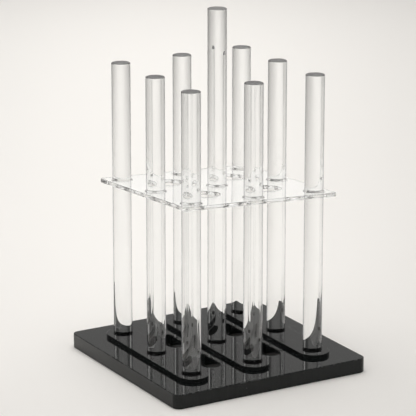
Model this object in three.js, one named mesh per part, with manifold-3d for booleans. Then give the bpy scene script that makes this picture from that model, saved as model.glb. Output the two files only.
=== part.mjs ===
// A table-top chip rack in acrylic sheet and rod: nine clear rods stand in a black base and fence off four
// columns of gaming chips. The middle rod is taller and is the carrying handle. A clear keeper plate with a
// hole for each rod slides down onto the stacks, and stays where it is because it tilts and jams on the rods.
//
// Millimetres, +Z up. The origin is on the table under the middle of the base. +X is the rack's right and
// -Y its front. The black strips run from front to back.

import * as THREE from 'three';
import { mergeVertices } from 'three/addons/utils/BufferGeometryUtils.js';
import Module from 'manifold-3d';

// ---- driving dimensions -------------------------------------------------------------------------

const pitch = 44;                // between neighbouring rods, and between the chip columns
const roundSteps = 40;           // flats round a full circle, a multiple of 4

const rodDiameter = 12;
const rodHeight = 178.5;         // the outer rods, above the strips
const handleRise = 38;           // how much further the middle rod stands up
const rodChamfer = 0.2;          // at both ends of a rod
const socketDepth = 5;           // how far a rod's foot goes into the base
const glueGap = 0.2;             // round a rod's foot, filled with cement

const baseThickness = 9.5;
const baseBorder = 13.5;         // from the strips' ends to the base's edge
const baseCorner = 5;            // radius of the base's upright corners
const baseBevel = 0.5;           // on the base's edges and the rims of its slots; thin sheet is left square
const slotWidth = 12;
const slotLength = 29;

const stripThickness = 2.3;
const stripWall = 4;             // on each side of a rod
const stripOverhang = 11.5;      // from the end rods' axes to the strips' round ends

const keeperThickness = 2.5;
const keeperRim = 3.55;          // from the outer rod holes to the keeper's edge
const keeperCorner = 1.5;
const keeperHeight = 102.2;      // middle of the keeper, above the strips
const keeperTilt = THREE.MathUtils.degToRad(5.1);
const keeperHighSide = THREE.MathUtils.degToRad(-128);   // heading of its highest corner, from +X
const slideGap = 0.35;           // left round a rod once the tilt has used up its share of the hole
const fingerHole = 20;           // diameter of the keeper's hole over each column

// ---- sizes that follow --------------------------------------------------------------------------

const stripTop = baseThickness + stripThickness;
const stripWidth = rodDiameter + 2 * stripWall;
const stripLength = 2 * (pitch + stripOverhang);
const baseSide = stripLength + 2 * baseBorder;
const rodHoleInBase = rodDiameter + 2 * glueGap;

// A tilted plate needs larger holes: for its own thickness, and because its outer holes draw in.
const holeDrift = pitch * Math.SQRT2 * (1 - Math.cos(keeperTilt));
const tiltedWall = keeperThickness * Math.sin(keeperTilt);
const keeperHole = (rodDiameter + 2 * (slideGap + holeDrift) + tiltedWall) / Math.cos(keeperTilt);
const keeperSide = 2 * (pitch + keeperHole / 2 + keeperRim);

const columns = [['left', -pitch], ['middle', 0], ['right', pitch]];
const rows = [['front', -pitch], ['middle', 0], ['back', pitch]];
const cells = [-pitch / 2, pitch / 2].flatMap((x) => [[x, -pitch / 2], [x, pitch / 2]]);
const rodPlaces = columns.flatMap(([, x]) => rows.map(([, y]) => [x, y]));

// ---- materials ----------------------------------------------------------------------------------

function blackAcrylic() {
  return new THREE.MeshStandardMaterial({ color: 0x0b0d0d, roughness: 0.06, metalness: 0 });
}

function clearAcrylic() {
  return new THREE.MeshStandardMaterial({
    color: 0xdde2e0, roughness: 0.04, metalness: 0, transparent: true, opacity: 0.3,
  });
}

// ---- outlines -----------------------------------------------------------------------------------

// Points along an arc, both ends included, at the same spacing as on every other round face.
function arc(x, y, radius, from, to) {
  const steps = Math.round((roundSteps * (to - from)) / (2 * Math.PI));
  return Array.from({ length: steps + 1 }, (_, step) => {
    const angle = from + ((to - from) * step) / steps;
    return new THREE.Vector2(x + radius * Math.cos(angle), y + radius * Math.sin(angle));
  });
}

// A square with round corners, centred on the origin.
function roundedSquare(side, radius) {
  const middle = side / 2 - radius;
  const quarter = Math.PI / 2;
  return [
    ...arc(middle, middle, radius, 0, quarter),
    ...arc(-middle, middle, radius, quarter, 2 * quarter),
    ...arc(-middle, -middle, radius, 2 * quarter, 3 * quarter),
    ...arc(middle, -middle, radius, 3 * quarter, 4 * quarter),
  ];
}

// A slot or strip with full round ends, its long side along Y.
function roundEnded(x, y, width, length) {
  const radius = width / 2;
  const reach = length / 2 - radius;
  return [...arc(x, y + reach, radius, 0, Math.PI), ...arc(x, y - reach, radius, Math.PI, 2 * Math.PI)];
}

function circle(x, y, diameter) {
  return arc(x, y, diameter / 2, 0, 2 * Math.PI).slice(0, -1);
}

// A plate cut from sheet: its outline and holes, with a bevel on every edge of both faces if it has one.
// The underside is at z = 0.
function sheet(outline, holes, thickness, bevel = 0) {
  const shape = new THREE.Shape(outline);
  shape.holes = holes.map((points) => new THREE.Path(points));
  const geometry = new THREE.ExtrudeGeometry(shape, {
    depth: thickness - 2 * bevel,
    bevelEnabled: bevel > 0,
    bevelThickness: bevel,
    bevelSize: bevel,
    bevelOffset: -bevel,
    bevelSegments: 1,
  });
  return geometry.translate(0, 0, bevel);
}

// ---- cutting ------------------------------------------------------------------------------------

const wasm = await Module();
wasm.setup();

function toSolid(geometry) {
  const bare = geometry.clone();
  bare.deleteAttribute('normal');
  bare.deleteAttribute('uv');
  const merged = mergeVertices(bare, 1e-4);
  return new wasm.Manifold(new wasm.Mesh({
    numProp: 3,
    vertProperties: new Float32Array(merged.attributes.position.array),
    triVerts: new Uint32Array(merged.index.array),
  }));
}

function toGeometry(solid) {
  const mesh = solid.getMesh();
  const geometry = new THREE.BufferGeometry();
  geometry.setAttribute('position', new THREE.BufferAttribute(new Float32Array(mesh.vertProperties), 3));
  geometry.setIndex(new THREE.BufferAttribute(new Uint32Array(mesh.triVerts), 1));
  geometry.computeVertexNormals();
  return geometry;
}

// ---- pieces -------------------------------------------------------------------------------------

const rack = new THREE.Group();

function addPiece(name, geometry, material, parent = rack) {
  const mesh = new THREE.Mesh(geometry, material);
  mesh.name = name;
  parent.add(mesh);
  return mesh;
}

// Thick black sheet. A finger slot goes right through it under each column, and each rod has a socket
// that stops inside it.
function basePlate() {
  const slots = cells.map(([x, y]) => roundEnded(x, y, slotWidth, slotLength));
  let solid = toSolid(sheet(roundedSquare(baseSide, baseCorner), slots, baseThickness, baseBevel));
  for (const [x, y] of rodPlaces) {
    const socket = new THREE.CylinderGeometry(rodHoleInBase / 2, rodHoleInBase / 2, 2 * socketDepth, roundSteps);
    socket.rotateX(Math.PI / 2).translate(x, y, baseThickness);
    solid = solid.subtract(toSolid(socket));
  }
  return toGeometry(solid);
}

// One of the three raised strips that the chips' edges rest on, drilled for its three rods.
function strip(x) {
  const outline = roundEnded(x, 0, stripWidth, stripLength);
  const holes = rows.map(([, y]) => circle(x, y, rodHoleInBase));
  return sheet(outline, holes, stripThickness).translate(0, 0, baseThickness);
}

// A clear rod, from the bottom of its socket up, with a small chamfer at each end.
function rod(x, y, height) {
  const radius = rodDiameter / 2;
  const bottom = baseThickness - socketDepth;
  const top = stripTop + height;
  const profile = [
    new THREE.Vector2(0, bottom),
    new THREE.Vector2(radius - rodChamfer, bottom),
    new THREE.Vector2(radius, bottom + rodChamfer),
    new THREE.Vector2(radius, top - rodChamfer),
    new THREE.Vector2(radius - rodChamfer, top),
    new THREE.Vector2(0, top),
  ];
  return new THREE.LatheGeometry(profile, roundSteps).rotateX(Math.PI / 2).translate(x, y, 0);
}

// The thin clear plate that rides on all nine rods, with its middle at z = 0.
function keeperPlate() {
  const rodHoles = rodPlaces.map(([x, y]) => circle(x, y, keeperHole));
  const fingerHoles = cells.map(([x, y]) => circle(x, y, fingerHole));
  const outline = roundedSquare(keeperSide, keeperCorner);
  const plate = sheet(outline, [...rodHoles, ...fingerHoles], keeperThickness);
  return plate.translate(0, 0, -keeperThickness / 2);
}

addPiece('base_plate', basePlate(), blackAcrylic());

for (const [side, x] of columns) {
  addPiece(`${side}_strip`, strip(x), blackAcrylic());
  for (const [row, y] of rows) {
    const isHandle = x === 0 && y === 0;
    const name = isHandle ? 'handle_rod' : `${side}_${row}_rod`;
    addPiece(name, rod(x, y, rodHeight + (isHandle ? handleRise : 0)), clearAcrylic());
  }
}

const keeperFrame = new THREE.Group();
const tiltAxis = new THREE.Vector3(-Math.sin(keeperHighSide), Math.cos(keeperHighSide), 0);
keeperFrame.position.set(0, 0, stripTop + keeperHeight);
keeperFrame.quaternion.setFromAxisAngle(tiltAxis, -keeperTilt);
addPiece('keeper_plate', keeperPlate(), clearAcrylic(), keeperFrame);
rack.add(keeperFrame);

export default rack;
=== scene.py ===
import bmesh
import bpy
import math
from mathutils import Matrix, Vector


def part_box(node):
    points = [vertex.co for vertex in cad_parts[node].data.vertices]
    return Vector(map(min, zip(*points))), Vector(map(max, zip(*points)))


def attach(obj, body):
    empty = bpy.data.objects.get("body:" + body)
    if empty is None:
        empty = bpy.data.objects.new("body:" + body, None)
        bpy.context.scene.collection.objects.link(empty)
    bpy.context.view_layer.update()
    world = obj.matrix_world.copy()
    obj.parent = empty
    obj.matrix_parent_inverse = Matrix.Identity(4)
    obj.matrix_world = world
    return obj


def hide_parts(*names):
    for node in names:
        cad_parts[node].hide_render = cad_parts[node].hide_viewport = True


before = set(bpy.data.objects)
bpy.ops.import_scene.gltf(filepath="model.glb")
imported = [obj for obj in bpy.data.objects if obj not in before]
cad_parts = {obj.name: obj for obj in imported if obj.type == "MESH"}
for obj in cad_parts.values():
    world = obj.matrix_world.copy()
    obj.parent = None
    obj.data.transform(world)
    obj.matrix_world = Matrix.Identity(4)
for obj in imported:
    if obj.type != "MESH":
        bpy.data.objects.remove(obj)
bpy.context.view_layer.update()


# ---- Camera -------------------------------------------------------------------------------------
# A long lens on a tripod a little above the rack, to the left of its front. It looks just over the
# middle of the base, so the handle and the near corner both have air round them.

AZIMUTH = math.radians(-30.24)
ELEVATION = math.radians(16.23)
DISTANCE = 1.6938
AIM = Vector((0.0070, 0.0232, 0.0935))
FOCAL_LENGTH = 229.75                               # millimetres, on a sensor 36 mm wide
SENSOR_WIDTH = 36.0
NEAREST = 0.05
FARTHEST = 50.0

lens = bpy.data.cameras.new("camera")
lens.lens = FOCAL_LENGTH
lens.sensor_width = SENSOR_WIDTH
lens.clip_start = NEAREST
lens.clip_end = FARTHEST
back = Vector((
    math.sin(AZIMUTH) * math.cos(ELEVATION),
    -math.cos(AZIMUTH) * math.cos(ELEVATION),
    math.sin(ELEVATION),
))
camera = bpy.data.objects.new("camera", lens)
camera.location = AIM + DISTANCE * back
camera.rotation_mode = "QUATERNION"
camera.rotation_quaternion = (-back).to_track_quat("-Z", "Y")
bpy.context.scene.collection.objects.link(camera)
bpy.context.scene.camera = camera


# ---- Table and light ----------------------------------------------------------------------------
# A table of matt off-white paper under soft boxes with grids, in a dim room with a bright band low
# down and four windows. The clear rods show the paper to their sides, so its fall-off draws their edges.

FLOOR_SIDE = 12.0
PAPER_COLOUR = (0.86, 0.845, 0.825, 1.0)
PAPER_TONE = (0.985, 1.015)                         # darkest and lightest fibre, times the colour
FIBRES_PER_METRE = 900.0

floor_mesh = bpy.data.meshes.new("paper")
half = FLOOR_SIDE / 2
floor_mesh.from_pydata(
    [(-half, -half, 0), (half, -half, 0), (half, half, 0), (-half, half, 0)], [], [(0, 1, 2, 3)]
)
paper = bpy.data.objects.new("paper", floor_mesh)
bpy.context.scene.collection.objects.link(paper)


def node_material(name):
    """A new material, its node tree and its shader."""
    material = bpy.data.materials.new(name)
    material.use_nodes = True
    tree = material.node_tree
    shader = next(n for n in tree.nodes if n.type == "BSDF_PRINCIPLED")
    return material, tree, shader


def add(tree, kind, **settings):
    """Adds a node; settings are its properties, or its inputs where the name is an input's."""
    node = tree.nodes.new(kind)
    for key, value in settings.items():
        label = key.replace("_", " ")
        if hasattr(node, key):
            setattr(node, key, value)
        else:
            node.inputs[label].default_value = value
    return node


def paper_material():
    material, tree, shader = node_material("matt_paper")
    place = add(tree, "ShaderNodeTexCoord")
    fibre = add(tree, "ShaderNodeTexNoise", Scale=FIBRES_PER_METRE, Detail=3.0)
    tone = add(tree, "ShaderNodeMapRange")
    tone.inputs["To Min"].default_value = PAPER_TONE[0]
    tone.inputs["To Max"].default_value = PAPER_TONE[1]
    tint = add(tree, "ShaderNodeMix", data_type="RGBA", blend_type="MULTIPLY")
    tint.inputs[0].default_value = 1.0
    tint.inputs[6].default_value = PAPER_COLOUR
    tree.links.new(place.outputs["Object"], fibre.inputs["Vector"])
    tree.links.new(fibre.outputs["Fac"], tone.inputs["Value"])
    tree.links.new(tone.outputs["Result"], tint.inputs[7])
    tree.links.new(tint.outputs[2], shader.inputs["Base Color"])
    shader.inputs["Roughness"].default_value = 0.9
    shader.inputs["Specular IOR Level"].default_value = 0.1
    return material


floor_mesh.materials.append(paper_material())

LIGHT_COLOUR = (1.0, 0.985, 0.96)
GRID_SPREAD = math.radians(100)
sight = Vector((-math.sin(AZIMUTH), math.cos(AZIMUTH), 0))
aside = Vector((math.cos(AZIMUTH), math.sin(AZIMUTH), 0))


def soft_box(name, behind, right, height, width, length, power):
    """A box that hangs level over the table, its length along the camera's line of sight. behind and
    right are from the rack's middle, as the camera sees it."""
    light = bpy.data.lights.new(name, "AREA")
    light.shape = "RECTANGLE"
    light.size = width
    light.size_y = length
    light.energy = power
    light.color = LIGHT_COLOUR
    light.spread = GRID_SPREAD
    box = bpy.data.objects.new(name, light)
    box.location = behind * sight + right * aside + Vector((0, 0, height))
    box.rotation_euler = (0, 0, AZIMUTH)
    bpy.context.scene.collection.objects.link(box)


soft_box("middle_box", behind=0.5, right=-0.05, height=0.5, width=0.3, length=1.6, power=1.2)
soft_box("left_box", behind=0.5, right=-0.45, height=0.7, width=0.5, length=1.6, power=1.0)
soft_box("right_box", behind=0.5, right=0.4, height=0.7, width=0.5, length=1.6, power=1.15)
soft_box("far_box", behind=1.5, right=0.0, height=0.9, width=1.0, length=1.0, power=0.6)
soft_box("wide_box", behind=0.35, right=-0.15, height=1.2, width=1.2, length=1.8, power=2.3)
soft_box("front_box", behind=-1.1, right=0.0, height=0.6, width=0.5, length=1.0, power=0.8)
soft_box("outer_left_box", behind=0.2, right=-2.3, height=0.8, width=1.2, length=3.4, power=9.0)
soft_box("outer_right_box", behind=0.2, right=2.3, height=0.8, width=1.2, length=3.4, power=9.0)
soft_box("outer_front_box", behind=-2.3, right=0.0, height=0.8, width=3.4, length=1.6, power=12.0)
soft_box("outer_back_box", behind=3.2, right=0.0, height=0.8, width=3.4, length=1.6, power=9.0)


def ramp(tree, source, stops):
    """Brightness that follows a value, through (value, brightness) stops."""
    node = add(tree, "ShaderNodeValToRGB")
    node.color_ramp.interpolation = "EASE"
    points = node.color_ramp.elements
    while len(points) < len(stops):
        points.new(0.5)
    for point, (position, level) in zip(points, stops):
        point.position = position
        point.color = (level, level, level, 1.0)
    tree.links.new(source, node.inputs["Fac"])
    return node.outputs["Color"]


def math_node(tree, operation, first, second):
    node = add(tree, "ShaderNodeMath", operation=operation)
    for socket, value in zip(node.inputs, (first, second)):
        if isinstance(value, (int, float)):
            socket.default_value = value
        else:
            tree.links.new(value, socket)
    return node.outputs[0]


BAND_LIGHT = 1.0                                    # the even band below the wall
WALL_LIGHT = 3.5                                    # a window; the plain wall is a fraction of it
CEILING_LIGHT = 0.05
CLEAR_BOUNCES = 32                                  # a ray may cross several rods and the keeper
GLOSS_BOUNCES = 8
WALL_ROUND = [                                      # one quarter turn, with its window in the middle
    (0.0, 0.36), (0.14, 0.34), (0.3, 0.14), (0.42, 0.16), (0.46, 1.0),
    (0.54, 1.0), (0.58, 0.16), (0.7, 0.14), (0.86, 0.34), (1.0, 0.36),
]
WALL_UP = [(0.21, 0.0), (0.27, 0.5), (0.45, 0.36), (0.65, 0.0)]
BAND_UP = [(0.21, 1.0), (0.27, 0.0)]
CEILING_UP = [(0.45, 0.0), (0.65, 1.0)]

room = bpy.data.worlds.new("room")
room.use_nodes = True
tree = room.node_tree
heading = add(tree, "ShaderNodeSeparateXYZ")
tree.links.new(add(tree, "ShaderNodeTexCoord").outputs["Generated"], heading.inputs[0])
height = heading.outputs["Z"]
turn = math_node(tree, "ARCTAN2", heading.outputs["Y"], heading.outputs["X"])
turn = math_node(tree, "ADD", turn, 2 * math.pi - math.atan2(sight.y, sight.x))
quarter = math_node(tree, "FRACT", math_node(tree, "MULTIPLY", turn, 2 / math.pi), 0.0)
wall = math_node(tree, "MULTIPLY", ramp(tree, quarter, WALL_ROUND), ramp(tree, height, WALL_UP))
wall = math_node(tree, "MULTIPLY", wall, WALL_LIGHT)
band = math_node(tree, "MULTIPLY", ramp(tree, height, BAND_UP), BAND_LIGHT)
ceiling = math_node(tree, "MULTIPLY", ramp(tree, height, CEILING_UP), CEILING_LIGHT)
light = math_node(tree, "ADD", wall, math_node(tree, "ADD", ceiling, band))
tree.links.new(light, tree.nodes["Background"].inputs["Strength"])
tree.nodes["Background"].inputs["Color"].default_value = (*LIGHT_COLOUR, 1.0)
bpy.context.scene.world = room
bpy.context.scene.view_settings.view_transform = "Standard"
bpy.context.scene.cycles.max_bounces = CLEAR_BOUNCES
bpy.context.scene.cycles.transmission_bounces = CLEAR_BOUNCES
bpy.context.scene.cycles.glossy_bounces = GLOSS_BOUNCES


# ---- Base plate ---------------------------------------------------------------------------------
# Thick black cast acrylic, sawn square with rounded corners and polished. Each column has a finger
# slot right through it, and each rod a blind socket from above, under its strip.

BASE_CORNER = 0.005
BASE_ROUNDING = 0.0005
SLOT_WIDTH = 0.012
SLOT_LENGTH = 0.029
SOCKET_DEPTH = 0.005
GLUE_GAP = 0.0002
CORNER_STEPS = 16                                   # facets round a sheet's corner
SLOT_STEPS = 28                                     # round each end of a slot
HOLE_STEPS = 96                                     # round a whole hole

base_low, base_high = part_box("base_plate")
SIDES = ("left", "middle", "right")
ROWS = ("front", "middle", "back")


def rod_node(side, row):
    return "handle_rod" if side == row == "middle" else f"{side}_{row}_rod"


rod_boxes = {rod_node(side, row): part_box(rod_node(side, row)) for side in SIDES for row in ROWS}
rod_axes = {name: ((low + high) / 2).to_2d() for name, (low, high) in rod_boxes.items()}
rod_low, rod_high = rod_boxes["handle_rod"]
ROD_RADIUS = (rod_high.x - rod_low.x) / 2
PITCH = rod_axes["right_middle_rod"].x
cells = [Vector((x, y)) for x in (-PITCH / 2, PITCH / 2) for y in (-PITCH / 2, PITCH / 2)]


def arc(centre, radius, start, stop, steps):
    """Points along an arc, angles in quarter turns, without its last point."""
    angles = (math.pi / 2 * (start + (stop - start) * i / steps) for i in range(steps))
    return [(centre[0] + radius * math.cos(a), centre[1] + radius * math.sin(a)) for a in angles]


def round_square(side, corner):
    """An outline as a function of how far it is moved outwards; its corners stay concentric."""
    reach = side / 2 - corner
    corners = ((reach, reach), (-reach, reach), (-reach, -reach), (reach, -reach))
    return lambda grow: [
        p for i, c in enumerate(corners) for p in arc(c, corner + grow, i, i + 1, CORNER_STEPS)
    ]


def round_ended(centre, width, length, steps):
    reach = (length - width) / 2
    x, y = centre
    return lambda grow: (
        arc((x, y + reach), width / 2 + grow, 0, 2, steps)
        + arc((x, y - reach), width / 2 + grow, 2, 4, steps)
    )


def circle(centre, diameter):
    return lambda grow: arc(centre, diameter / 2 + grow, 0, 4, HOLE_STEPS)


def crisp(bm, rings):
    """Keeps the shading of a wall, its rounded edge and the face beyond apart."""
    for ring in rings:
        for i in range(len(ring)):
            bm.edges.get((ring[i - 1], ring[i])).smooth = False


def sheet(name, outline, through, blind, low, high, rounding, depth=0.0, steps=4):
    """A plate cut from sheet, with every edge of its faces rounded. Face attributes tell the rounded
    edges ("edge") and the sawn or cut walls ("cut") from the polished faces."""
    bm = bmesh.new()
    edge = bm.faces.layers.float.new("edge")
    cut = bm.faces.layers.float.new("cut")
    quarter = [math.pi / 2 * i / steps for i in range(steps + 1)]

    def wall(path, sign, floor_z):
        """Rings from the upper face down to the lower face, or to a blind floor."""
        across = [sign * rounding * (1 - math.cos(a)) for a in quarter]
        inset = [rounding * (1 - math.sin(a)) for a in quarter]
        stations = [(out, high - into) for out, into in zip(reversed(across), reversed(inset))]
        if floor_z is None:
            stations += [(out, low + into) for out, into in zip(across, inset)]
        else:
            stations.append((0.0, floor_z))
        rings = [[bm.verts.new((x, y, z)) for x, y in path(grow)] for grow, z in stations]
        for k, (upper, lower) in enumerate(zip(rings, rings[1:])):
            straight = k == steps
            for i in range(len(upper)):
                j = (i + 1) % len(upper)
                face = bm.faces.new((upper[i], upper[j], lower[j], lower[i]))
                face.smooth = True
                face[cut] = 1.0 if straight else 0.0
                face[edge] = 0.0 if straight else 1.0
        if floor_z is not None:
            bm.faces.new(rings[-1])
        crisp(bm, [rings[0], rings[steps], rings[steps + 1], rings[-1]])
        return rings[0], rings[-1]

    ends = [wall(outline, -1, None)] + [wall(path, 1, None) for path in through]
    tops = [top for top, _ in ends] + [wall(path, 1, high - depth)[0] for path in blind]
    bottoms = [bottom for _, bottom in ends]
    for loops in (tops, bottoms):
        rim_edges = [bm.edges.get((ring[i - 1], ring[i])) for ring in loops for i in range(len(ring))]
        bmesh.ops.triangle_fill(bm, edges=rim_edges, use_beauty=True)
    bmesh.ops.recalc_face_normals(bm, faces=bm.faces)
    mesh = bpy.data.meshes.new(name)
    bm.to_mesh(mesh)
    bm.free()
    piece = bpy.data.objects.new(name, mesh)
    bpy.context.scene.collection.objects.link(piece)
    return piece


base = sheet(
    "base_slab",
    round_square(base_high.x - base_low.x, BASE_CORNER),
    [round_ended(cell, SLOT_WIDTH, SLOT_LENGTH, SLOT_STEPS) for cell in cells],
    [circle(axis, 2 * (ROD_RADIUS + GLUE_GAP)) for axis in rod_axes.values()],
    base_low.z, base_high.z, BASE_ROUNDING, SOCKET_DEPTH,
)


def value_group(name, inputs, outputs):
    """An empty node group that takes and gives plain numbers, and a vector called Vector."""
    group = bpy.data.node_groups.new(name, "ShaderNodeTree")
    group.interface.new_socket("Vector", in_out="INPUT", socket_type="NodeSocketVector")
    for label in inputs:
        group.interface.new_socket(label, in_out="INPUT", socket_type="NodeSocketFloat")
    for label in outputs:
        group.interface.new_socket(label, in_out="OUTPUT", socket_type="NodeSocketFloat")
    return group, group.nodes.new("NodeGroupInput").outputs, group.nodes.new("NodeGroupOutput").inputs


def smooth_step(tree, source, low, high):
    node = add(tree, "ShaderNodeMapRange", interpolation_type="SMOOTHSTEP")
    node.inputs["From Min"].default_value = low
    node.inputs["From Max"].default_value = high
    tree.links.new(source, node.inputs["Value"])
    return node.outputs["Result"]


def stretched_noise(tree, vector, scale, turn=0.0, detail=2.0):
    """Noise drawn out along one direction: scale is features per metre along X, Y and Z."""
    place = add(tree, "ShaderNodeMapping", vector_type="TEXTURE")
    place.inputs["Rotation"].default_value = (0, 0, turn)
    place.inputs["Scale"].default_value = tuple(1 / s for s in scale)
    noise = add(tree, "ShaderNodeTexNoise", Scale=1.0, Detail=detail)
    tree.links.new(vector, place.inputs["Vector"])
    tree.links.new(place.outputs["Vector"], noise.inputs["Vector"])
    return noise.outputs["Fac"]


def handling_marks():
    """Finger haze in soft patches, and sparse hairline scratches that cross in two directions."""
    group, given, out = value_group("handling_marks", ("Haze Size",), ("Haze", "Scratch"))
    haze = add(group, "ShaderNodeTexNoise", Detail=4.0, Roughness=0.6)
    group.links.new(given["Vector"], haze.inputs["Vector"])
    group.links.new(math_node(group, "DIVIDE", 1.0, given["Haze Size"]), haze.inputs["Scale"])
    group.links.new(smooth_step(group, haze.outputs["Fac"], 0.45, 0.75), out["Haze"])
    layers = []
    for turn, across in ((0.4, 1500.0), (-1.0, 1100.0)):
        lines = stretched_noise(group, given["Vector"], (25.0, across, across), turn)
        patches = stretched_noise(group, given["Vector"], (40.0, 40.0, 40.0), turn)
        hairlines = smooth_step(group, lines, 0.68, 0.76)
        layers.append(math_node(group, "MULTIPLY", hairlines, smooth_step(group, patches, 0.45, 0.6)))
    group.links.new(math_node(group, "MAXIMUM", *layers), out["Scratch"])
    return group


def cut_marks():
    """The fine upright lines that a saw or a laser leaves on the wall of a sheet."""
    group, given, out = value_group("cut_marks", (), ("Lines",))
    fine = stretched_noise(group, given["Vector"], (2600.0, 2600.0, 60.0))
    broad = stretched_noise(group, given["Vector"], (420.0, 420.0, 25.0))
    fine_share = math_node(group, "MULTIPLY", fine, 0.6)
    broad_share = math_node(group, "MULTIPLY", broad, 0.4)
    group.links.new(math_node(group, "ADD", fine_share, broad_share), out["Lines"])
    return group


def edge_wear():
    """Where a rounded edge has been rubbed: broken patches along the faces marked as edge."""
    group, given, out = value_group("edge_wear", ("Edge",), ("Wear",))
    patches = add(group, "ShaderNodeTexNoise", Scale=260.0, Detail=5.0, Roughness=0.7)
    group.links.new(given["Vector"], patches.inputs["Vector"])
    broken = smooth_step(group, patches.outputs["Fac"], 0.48, 0.62)
    group.links.new(math_node(group, "MULTIPLY", broken, given["Edge"]), out["Wear"])
    return group


HANDLING_MARKS = handling_marks()
CUT_MARKS = cut_marks()
EDGE_WEAR = edge_wear()


def use_group(tree, group, vector, **numbers):
    node = add(tree, "ShaderNodeGroup", node_tree=group)
    tree.links.new(vector, node.inputs["Vector"])
    for label, value in numbers.items():
        socket = node.inputs[label.replace("_", " ")]
        if isinstance(value, (int, float)):
            socket.default_value = value
        else:
            tree.links.new(value, socket)
    return node.outputs


def total(tree, base, *terms):
    """base plus each mask times its share."""
    value = base
    for mask, share in terms:
        value = math_node(tree, "ADD", math_node(tree, "MULTIPLY", mask, share), value)
    return value


def bump(tree, height, distance, shader):
    node = add(tree, "ShaderNodeBump", Strength=1.0, Distance=distance)
    tree.links.new(height, node.inputs["Height"])
    tree.links.new(node.outputs["Normal"], shader.inputs["Normal"])


def face_mark(tree, name):
    return add(tree, "ShaderNodeAttribute", attribute_name=name).outputs["Fac"]


def tinted(tree, mask, plain, marked):
    """The marked colour where the mask is 1. plain is a colour, or the output of an earlier tint."""
    mix = add(tree, "ShaderNodeMix", data_type="RGBA")
    if isinstance(plain, tuple):
        mix.inputs[6].default_value = (*plain, 1.0)
    else:
        tree.links.new(plain, mix.inputs[6])
    mix.inputs[7].default_value = (*marked, 1.0)
    tree.links.new(mask, mix.inputs[0])
    return mix.outputs[2]


ACRYLIC_IOR = 1.49
BLACK_GLOSS = 0.24                                  # specular level; 0.5 is plain acrylic
BLACK_COLOUR = (0.005, 0.0065, 0.0065)
DUSTY_BLACK = (0.16, 0.16, 0.155)
SPECKS_PER_METRE = 190.0
SPECK_RADIUS = 0.035                                # as a share of the spacing


def black_acrylic():
    material, tree, shader = node_material("polished_black_sheet")
    place = add(tree, "ShaderNodeTexCoord").outputs["Object"]
    cut = face_mark(tree, "cut")
    marks = use_group(tree, HANDLING_MARKS, place, Haze_Size=0.03)
    wear = use_group(tree, EDGE_WEAR, place, Edge=face_mark(tree, "edge"))["Wear"]
    lines = math_node(tree, "MULTIPLY", use_group(tree, CUT_MARKS, place)["Lines"], cut)
    specks = add(tree, "ShaderNodeTexVoronoi", Scale=SPECKS_PER_METRE)
    tree.links.new(place, specks.inputs["Vector"])
    dust = math_node(tree, "LESS_THAN", specks.outputs["Distance"], SPECK_RADIUS)
    dust = math_node(tree, "MULTIPLY", dust, 0.6)
    haze, scratch = marks["Haze"], marks["Scratch"]
    pale = total(tree, dust, (wear, 0.25), (scratch, 0.12), (lines, 0.06))
    roughness = total(tree, 0.02, (haze, 0.045), (scratch, 0.10), (wear, 0.25), (cut, 0.07))
    height = total(tree, 0.0, (scratch, -0.15), (lines, 0.5), (wear, -0.4))
    tree.links.new(tinted(tree, pale, BLACK_COLOUR, DUSTY_BLACK), shader.inputs["Base Color"])
    tree.links.new(roughness, shader.inputs["Roughness"])
    bump(tree, height, 0.00004, shader)
    shader.inputs["IOR"].default_value = ACRYLIC_IOR
    shader.inputs["Specular IOR Level"].default_value = BLACK_GLOSS
    return material


BLACK = black_acrylic()
base.data.materials.append(BLACK)
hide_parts("base_plate")
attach(base, "rack")


# ---- Strips -------------------------------------------------------------------------------------
# Three strips of thin black sheet with full round ends, cemented to the base. Each is drilled for
# its three rods, and the chips' edges rest on them.

STRIP_ROUNDING = 0.00015
STRIP_STEPS = 48                                    # round each end

for side in SIDES:
    low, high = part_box(f"{side}_strip")
    middle = ((low + high) / 2).to_2d()
    strip = sheet(
        f"{side}_rest_strip",
        round_ended(middle, high.x - low.x, high.y - low.y, STRIP_STEPS),
        [circle(rod_axes[rod_node(side, row)], 2 * (ROD_RADIUS + GLUE_GAP)) for row in ROWS],
        [], low.z, high.z, STRIP_ROUNDING, steps=3,
    )
    strip.data.materials.append(BLACK)
    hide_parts(f"{side}_strip")
    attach(strip, "rack")


# ---- Rods ---------------------------------------------------------------------------------------
# Clear cast acrylic rod, cut to length, with polished ends and a small chamfer. The middle rod is
# longer: it is the handle that the rack is carried by.

ROD_CHAMFER = 0.0002
ROD_STEPS = 128
CRISP_ANGLE = math.radians(30)
CLEAR_COLOUR = (0.985, 0.99, 0.988)
HANDLED_COLOUR = (0.93, 0.94, 0.935)
# Painted shade: the rods' base colour turns grey where their round sides are seen edge-on, a dark line
# that stands in for the dark surroundings refracted at their edges.
PAINTED_EDGE_SHADE_COLOUR = (0.42, 0.41, 0.45)
PAINTED_EDGE_SHADE_FACING = (0.45, 0.70)                       # where the painted edge shade begins and is full


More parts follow.
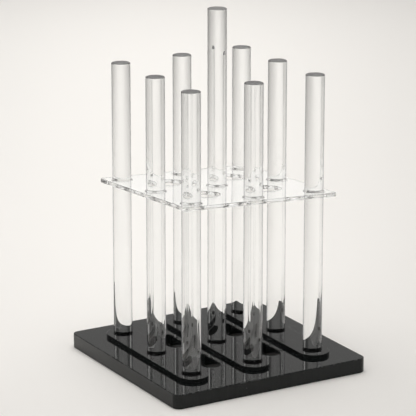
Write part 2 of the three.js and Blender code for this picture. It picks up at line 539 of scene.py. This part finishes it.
def rod_tree():
    """A rod from its sizes: a profile circle swept up a line, drawn in at both ends for the chamfers."""
    tree = bpy.data.node_groups.new("clear_rod", "GeometryNodeTree")
    for label in ("Radius", "Chamfer", "Bottom", "Top"):
        tree.interface.new_socket(label, in_out="INPUT", socket_type="NodeSocketFloat")
    tree.interface.new_socket("Axis", in_out="INPUT", socket_type="NodeSocketVector")
    tree.interface.new_socket("Sides", in_out="INPUT", socket_type="NodeSocketInt")
    tree.interface.new_socket("Material", in_out="INPUT", socket_type="NodeSocketMaterial")
    tree.interface.new_socket("Rod", in_out="OUTPUT", socket_type="NodeSocketGeometry")
    given = tree.nodes.new("NodeGroupInput").outputs
    link = tree.links.new

    stations = add(tree, "GeometryNodeMeshLine", count_mode="TOTAL", mode="OFFSET", Count=4)
    upright = add(tree, "GeometryNodeMeshToCurve")
    number = add(tree, "GeometryNodeInputIndex").outputs[0]
    is_upper = math_node(tree, "GREATER_THAN", number, 1.5)
    inner = math_node(tree, "COMPARE", number, 1.5)
    inner.node.inputs[2].default_value = 1.0
    drawn_in = math_node(tree, "SUBTRACT", 1.0, inner)
    height = math_node(tree, "SUBTRACT", given["Top"], given["Bottom"])
    lift = math_node(tree, "ADD", given["Bottom"], math_node(tree, "MULTIPLY", is_upper, height))
    inward = math_node(tree, "MULTIPLY", inner, given["Chamfer"])
    side = math_node(tree, "SUBTRACT", 1.0, math_node(tree, "MULTIPLY", is_upper, 2.0))
    level = math_node(tree, "ADD", lift, math_node(tree, "MULTIPLY", inward, side))
    place = add(tree, "ShaderNodeCombineXYZ")
    stand = add(tree, "GeometryNodeSetPosition")
    link(level, place.inputs["Z"])
    link(stations.outputs[0], upright.inputs[0])
    link(upright.outputs[0], stand.inputs["Geometry"])
    link(place.outputs[0], stand.inputs["Position"])

    girth = add(tree, "GeometryNodeSetCurveRadius")
    taken_off = math_node(tree, "MULTIPLY", drawn_in, given["Chamfer"])
    link(stand.outputs[0], girth.inputs["Curve"])
    link(math_node(tree, "SUBTRACT", given["Radius"], taken_off), girth.inputs["Radius"])
    ring = add(tree, "GeometryNodeCurvePrimitiveCircle", Radius=1.0)
    link(given["Sides"], ring.inputs["Resolution"])
    sweep = add(tree, "GeometryNodeCurveToMesh")
    sweep.inputs["Fill Caps"].default_value = True
    link(girth.outputs[0], sweep.inputs["Curve"])
    link(ring.outputs[0], sweep.inputs["Profile Curve"])
    link(add(tree, "GeometryNodeInputRadius").outputs[0], sweep.inputs["Scale"])

    facing = add(tree, "ShaderNodeSeparateXYZ")
    link(add(tree, "GeometryNodeInputNormal").outputs[0], facing.inputs[0])
    steep = math_node(tree, "ABSOLUTE", facing.outputs["Z"], 0.0)
    is_end = math_node(tree, "GREATER_THAN", steep, 0.9)
    is_slope = math_node(tree, "SUBTRACT", math_node(tree, "GREATER_THAN", steep, 0.3), is_end)
    body = sweep.outputs[0]
    for label, mask in (("cut", is_end), ("edge", is_slope)):
        store = add(tree, "GeometryNodeStoreNamedAttribute", domain="FACE", data_type="FLOAT")
        store.inputs["Name"].default_value = label
        link(body, store.inputs["Geometry"])
        link(mask, store.inputs["Value"])
        body = store.outputs[0]
    bend = add(tree, "GeometryNodeInputMeshEdgeAngle").outputs[0]
    corner = math_node(tree, "GREATER_THAN", bend, CRISP_ANGLE)
    crisp_edges = add(tree, "GeometryNodeStoreNamedAttribute", domain="EDGE", data_type="BOOLEAN")
    crisp_edges.inputs["Name"].default_value = "sharp_edge"
    link(body, crisp_edges.inputs["Geometry"])
    link(corner, crisp_edges.inputs["Value"])
    shift = add(tree, "GeometryNodeTransform")
    link(crisp_edges.outputs[0], shift.inputs["Geometry"])
    link(given["Axis"], shift.inputs["Translation"])
    real = add(tree, "GeometryNodeRealizeInstances")
    finish = add(tree, "GeometryNodeSetMaterial")
    link(shift.outputs[0], real.inputs[0])
    link(real.outputs[0], finish.inputs["Geometry"])
    link(given["Material"], finish.inputs["Material"])
    link(finish.outputs[0], tree.nodes.new("NodeGroupOutput").inputs[0])
    return tree


ROD_TREE = rod_tree()


def rod(name, low, high, material):
    """Sets the tree's inputs for one rod and keeps the result as a plain mesh."""
    sizes = {
        "Radius": ROD_RADIUS, "Chamfer": ROD_CHAMFER, "Bottom": low.z, "Top": high.z,
        "Axis": ((low + high) / 2 * Vector((1, 1, 0))), "Sides": ROD_STEPS, "Material": material,
    }
    maker = bpy.data.objects.new(name + "_maker", bpy.data.meshes.new(name))
    bpy.context.scene.collection.objects.link(maker)
    modifier = maker.modifiers.new("clear_rod", "NODES")
    modifier.node_group = ROD_TREE
    for item in ROD_TREE.interface.items_tree:
        if item.in_out == "INPUT":
            modifier[item.identifier] = sizes[item.name]
    bpy.context.view_layer.update()
    mesh = bpy.data.meshes.new_from_object(maker.evaluated_get(bpy.context.evaluated_depsgraph_get()))
    bpy.data.objects.remove(maker)
    mesh.name = name
    piece = bpy.data.objects.new(name, mesh)
    bpy.context.scene.collection.objects.link(piece)
    return piece


def clear_acrylic(name, cut_roughness, haze_size, painted_edge_shade=False):
    """Water-clear acrylic. Sawn ends and cut walls are a little satin; faces have faint hairlines.
    Where it is given painted edge shade, its round side darkens to a thin grey line of painted shade
    where it is seen edge-on."""
    material, tree, shader = node_material(name)
    place = add(tree, "ShaderNodeTexCoord").outputs["Object"]
    cut = face_mark(tree, "cut")
    marks = use_group(tree, HANDLING_MARKS, place, Haze_Size=haze_size)
    wear = use_group(tree, EDGE_WEAR, place, Edge=face_mark(tree, "edge"))["Wear"]
    lines = math_node(tree, "MULTIPLY", use_group(tree, CUT_MARKS, place)["Lines"], cut)
    haze, scratch = marks["Haze"], marks["Scratch"]
    colour = tinted(tree, total(tree, wear, (haze, 0.15)), CLEAR_COLOUR, HANDLED_COLOUR)
    if painted_edge_shade:
        # Painted shade: Layer Weight's facing turns the base colour grey towards the rod's edges, a dark
        # line along its sides; the sawn ends are left out.
        facing = add(tree, "ShaderNodeLayerWeight").outputs["Facing"]
        outline = smooth_step(tree, facing, *PAINTED_EDGE_SHADE_FACING)
        outline = math_node(tree, "MULTIPLY", outline, math_node(tree, "SUBTRACT", 1.0, cut))
        colour = tinted(tree, outline, colour, PAINTED_EDGE_SHADE_COLOUR)
    roughness = total(tree, 0.0, (haze, 0.012), (scratch, 0.05), (wear, 0.12), (cut, cut_roughness))
    tree.links.new(colour, shader.inputs["Base Color"])
    tree.links.new(roughness, shader.inputs["Roughness"])
    bump(tree, total(tree, 0.0, (scratch, -0.1), (lines, 0.4)), 0.00002, shader)
    shader.inputs["IOR"].default_value = ACRYLIC_IOR
    shader.inputs["Transmission Weight"].default_value = 1.0
    return material


# The rods get the painted edge shade along their sides.
CLEAR = clear_acrylic("clear_rod_acrylic", cut_roughness=0.22, haze_size=0.05, painted_edge_shade=True)
for node, (low, high) in rod_boxes.items():
    piece = rod(node.replace("_rod", "_post"), low, high, CLEAR)
    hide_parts(node)
    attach(piece, "rack")


# ---- Keeper plate -------------------------------------------------------------------------------
# Thin clear sheet, laser cut: nine holes ride on the rods with play, and a finger goes through the
# four larger ones. It hangs where it was left, tilted to one corner and jammed on the rods.

KEEPER_HOLE = 0.01348
KEEPER_CORNER = 0.0015
KEEPER_SIDE = 0.10858
KEEPER_THICKNESS = 0.0025
FINGER_HOLE = 0.020
KEEPER_ROUNDING = 0.0002
CUT_COLOUR = (0.95, 0.955, 0.95)
RUBBED_CUT_COLOUR = (0.88, 0.885, 0.88)


def laser_cut_wall():
    """The keeper's cut walls: almost as clear as its faces, with the cutter's fine upright lines."""
    material, tree, shader = node_material("laser_cut_edge")
    place = add(tree, "ShaderNodeTexCoord").outputs["Object"]
    lines = use_group(tree, CUT_MARKS, place)["Lines"]
    wear = use_group(tree, EDGE_WEAR, place, Edge=1.0)["Wear"]
    colour = tinted(tree, wear, CUT_COLOUR, RUBBED_CUT_COLOUR)
    tree.links.new(colour, shader.inputs["Base Color"])
    tree.links.new(total(tree, 0.01, (lines, 0.04), (wear, 0.08)), shader.inputs["Roughness"])
    bump(tree, lines, 0.00002, shader)
    shader.inputs["IOR"].default_value = ACRYLIC_IOR
    shader.inputs["Transmission Weight"].default_value = 0.96
    return material


keeper_low, keeper_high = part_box("keeper_plate")
largest = max(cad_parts["keeper_plate"].data.polygons, key=lambda p: p.area)
keeper_up = largest.normal.copy() if largest.normal.z > 0 else -largest.normal
keeper = sheet(
    "sliding_keeper",
    round_square(KEEPER_SIDE, KEEPER_CORNER),
    [circle(axis, KEEPER_HOLE) for axis in rod_axes.values()]
    + [circle(cell, FINGER_HOLE) for cell in cells],
    [], -KEEPER_THICKNESS / 2, KEEPER_THICKNESS / 2, KEEPER_ROUNDING, steps=2,
)
tilt = Vector((0, 0, 1)).rotation_difference(keeper_up).to_matrix().to_4x4()
keeper.data.transform(Matrix.Translation((keeper_low + keeper_high) / 2) @ tilt)
keeper.data.materials.append(clear_acrylic("clear_sheet_acrylic", cut_roughness=0.06, haze_size=0.04))
keeper.data.materials.append(laser_cut_wall())
marked = [keeper.data.attributes[name].data for name in ("cut", "edge")]
for face in keeper.data.polygons:
    face.material_index = int(any(values[face.index].value > 0.5 for values in marked))
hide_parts("keeper_plate")
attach(keeper, "keeper")
